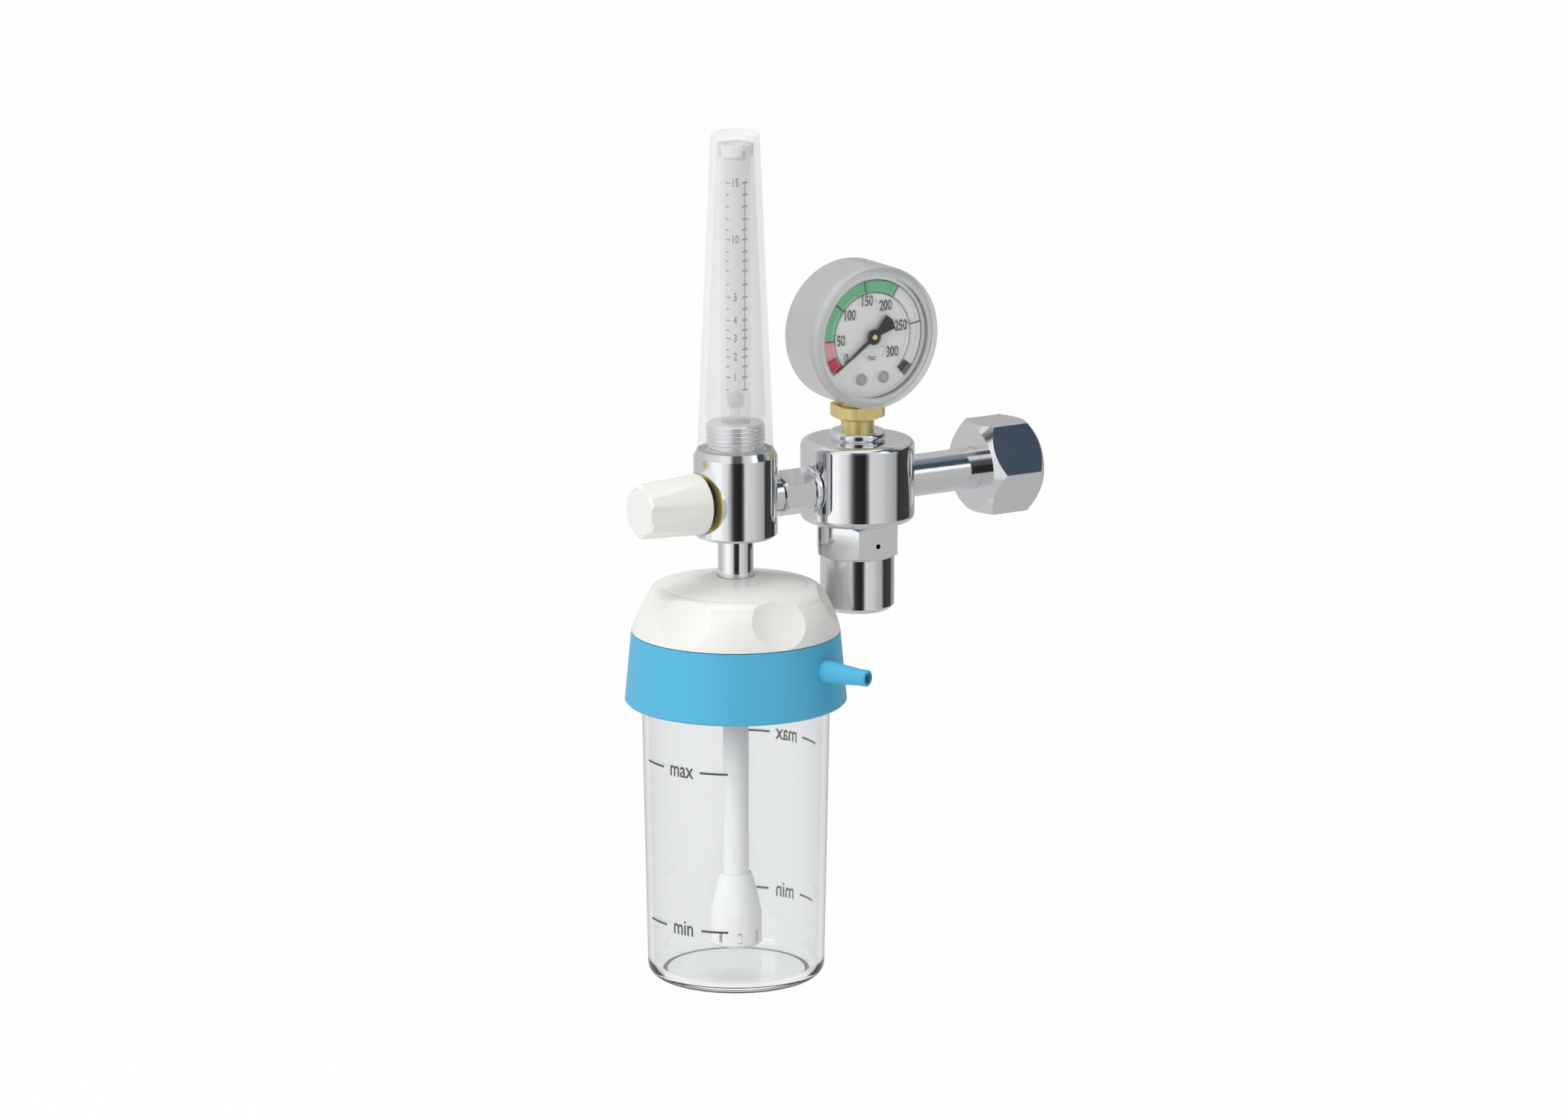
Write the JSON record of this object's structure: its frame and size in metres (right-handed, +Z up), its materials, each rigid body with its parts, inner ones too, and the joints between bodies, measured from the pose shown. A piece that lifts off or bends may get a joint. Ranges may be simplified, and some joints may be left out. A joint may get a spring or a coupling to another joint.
{
  "type": "oxygen flowmeter with regulator and humidifier",
  "caption": "Cylinder regulator with contents gauge, needle valve, clear flow tube with float ball, and a humidifier bottle held by a scalloped hand nut.",
  "frame": {"origin": "centre of the inlet nut's open mouth, on the axis that the nut, the inlet stem, the connector and the flow knob share", "axes": "+X points out of the inlet nut, -Y is the side the gauge faces, +Z is up along the flow tube"},
  "size_m": [0.1597, 0.0908, 0.304],
  "materials": {
    "chrome": "polished chromium plate",
    "brass": "bare machined brass",
    "steel": "bright stainless steel",
    "black_rubber": "moulded black rubber",
    "seal_plastic": "white seal material",
    "ivory_plastic": "moulded ivory plastic with a soft gloss",
    "blue_plastic": "moulded sky blue plastic with a soft gloss",
    "clear_plastic": "clear polycarbonate",
    "milky_plastic": "translucent white plastic",
    "dial_paint": "white enamel with printed scale",
    "black_paint": "matt black enamel"
  },
  "bodies": {
    "regulator": {"regulator_body": "chrome", "bonnet": "chrome", "inlet_stem": "chrome", "inlet_seal": "seal_plastic", "inlet_filter": "steel", "piston_stem_seal": "black_rubber", "main_spring": "steel", "connector_nipple": "chrome", "connector_nut": "chrome", "connector_washer": "chrome", "gauge_collar": "chrome", "gauge_stem": "brass", "gauge_case": "chrome", "gauge_lens": "clear_plastic", "dial": "dial_paint", "dial_studs": "steel", "tube_spring": "brass", "movement_back_plate": "brass", "movement_front_plate": "brass", "movement_screws": "brass", "tube_tip_link": "brass", "flow_body": "chrome", "valve_gland": "brass", "gland_washer": "black_rubber", "metering_tube": "clear_plastic", "ball_stop": "milky_plastic", "tube_spacer": "milky_plastic", "tube_seal": "black_rubber", "cover_seal": "black_rubber", "tube_cover": "clear_plastic", "outlet_stem": "chrome"},
    "inlet_nut": {"inlet_nut": "chrome"},
    "piston": {"piston": "brass", "seat_pad": "seal_plastic", "piston_head_seal": "black_rubber"},
    "sector": {"sector_gear": "brass"},
    "pointer": {"pinion": "brass", "pointer": "black_paint"},
    "spindle_carrier": {"spindle_seal": "black_rubber"},
    "knob": {"needle_spindle": "brass", "flow_knob": "ivory_plastic", "knob_cap": "ivory_plastic", "knob_screw": "steel"},
    "float": {"float_ball": "steel"},
    "humidifier": {"humidifier_lid": "blue_plastic", "humidifier_inlet": "brass", "outlet_seal": "seal_plastic", "jar_gasket": "black_rubber", "diffuser_tube": "milky_plastic", "diffuser_bell": "milky_plastic"},
    "hand_nut": {"hand_nut": "ivory_plastic"},
    "jar": {"jar": "clear_plastic"}
  },
  "joints": [
    {"name": "inlet_nut_spin", "type": "hinge", "parent": "regulator", "child": "inlet_nut", "pos_m": [-0.015, 0, 0], "axis": [1, 0, 0], "continuous": true},
    {"name": "piston_lift", "type": "slide", "parent": "regulator", "child": "piston", "axis": [0, 0, 1], "range_m": [0, 0.0005], "stiffness_N_per_m": 2000, "springref_m": -0.0005, "deforming": ["main_spring"]},
    {"name": "sector_turn", "type": "hinge", "parent": "regulator", "child": "sector", "pos_m": [-0.0817, -0.0046, 0.0547], "axis": [0, 1, 0], "range_deg": [-63, 0], "stiffness_Nm_per_rad": 0.0002, "springref_deg": 11.46},
    {"name": "pointer_swing", "type": "hinge", "parent": "regulator", "child": "pointer", "pos_m": [-0.0696, -0.0102, 0.0547], "axis": [0, 1, 0], "range_deg": [0, 252]},
    {"name": "spindle_advance", "type": "slide", "parent": "regulator", "child": "spindle_carrier", "axis": [-1, 0, 0], "range_m": [0, 0.00112]},
    {"name": "knob_turn", "type": "hinge", "parent": "spindle_carrier", "child": "knob", "pos_m": [-0.1502, 0, 0], "axis": [-1, 0, 0], "range_deg": [0, 545]},
    {"name": "float_rise", "type": "slide", "parent": "regulator", "child": "float", "axis": [0, 0, 1], "range_m": [0, 0.0822]},
    {"name": "humidifier_drop", "type": "slide", "parent": "regulator", "child": "humidifier", "axis": [0, 0, -1], "range_m": [0, 0.0045]},
    {"name": "hand_nut_turn", "type": "hinge", "parent": "humidifier", "child": "hand_nut", "pos_m": [-0.1202, 0, -0.04], "axis": [0, 0, -1], "range_deg": [0, 1090]},
    {"name": "jar_release", "type": "slide", "parent": "humidifier", "child": "jar", "axis": [0, 0, -1], "range_m": [0, 0.11]}
  ],
  "couplings": [
    {"joint": "pointer_swing", "follows": "sector_turn", "ratio": -4},
    {"joint": "knob_turn", "follows": "spindle_advance", "rad_per_m": 8377.6},
    {"joint": "hand_nut_turn", "follows": "humidifier_drop", "rad_per_m": 4188.8}
  ]
}
